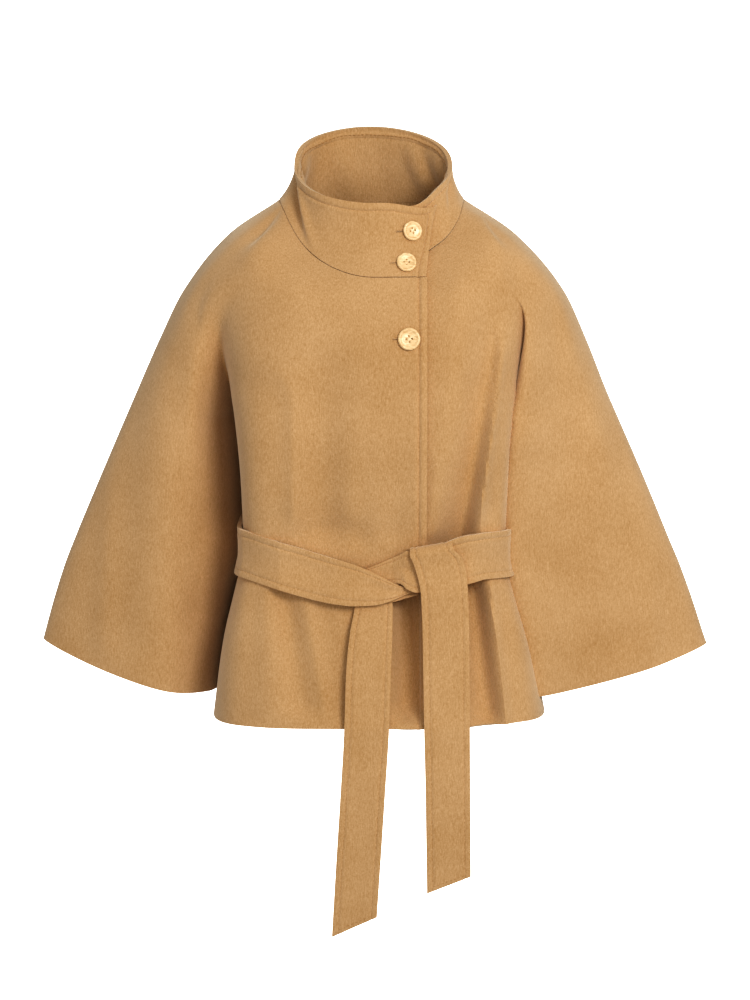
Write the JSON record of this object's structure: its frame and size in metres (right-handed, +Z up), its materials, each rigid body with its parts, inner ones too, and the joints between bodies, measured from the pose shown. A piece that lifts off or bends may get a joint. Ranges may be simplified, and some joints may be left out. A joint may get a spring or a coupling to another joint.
{
  "type": "belted coat",
  "caption": "Cape coat in camel wool with a funnel collar, wide sleeves, an overlapping front and a belt tied at the waist.",
  "frame": {"origin": "midway between the two points where the neck seam meets the shoulder seams, which is where a wearer's shoulders carry the coat", "axes": "+Z up, -Y towards the front closing, +X towards the wearer's left"},
  "size_m": [0.734, 0.2667, 0.864],
  "materials": {
    "cloth": "brushed wool with a soft nap",
    "horn": "satin"
  },
  "bodies": {
    "root": {"front_right": "cloth", "front_left": "cloth", "back": "cloth", "collar": "cloth", "belt": "cloth", "belt_tail_left": "cloth", "belt_tail_right": "cloth", "button_collar_top": "horn", "button_collar_low": "horn", "button_front": "horn"}
  },
  "joints": []
}
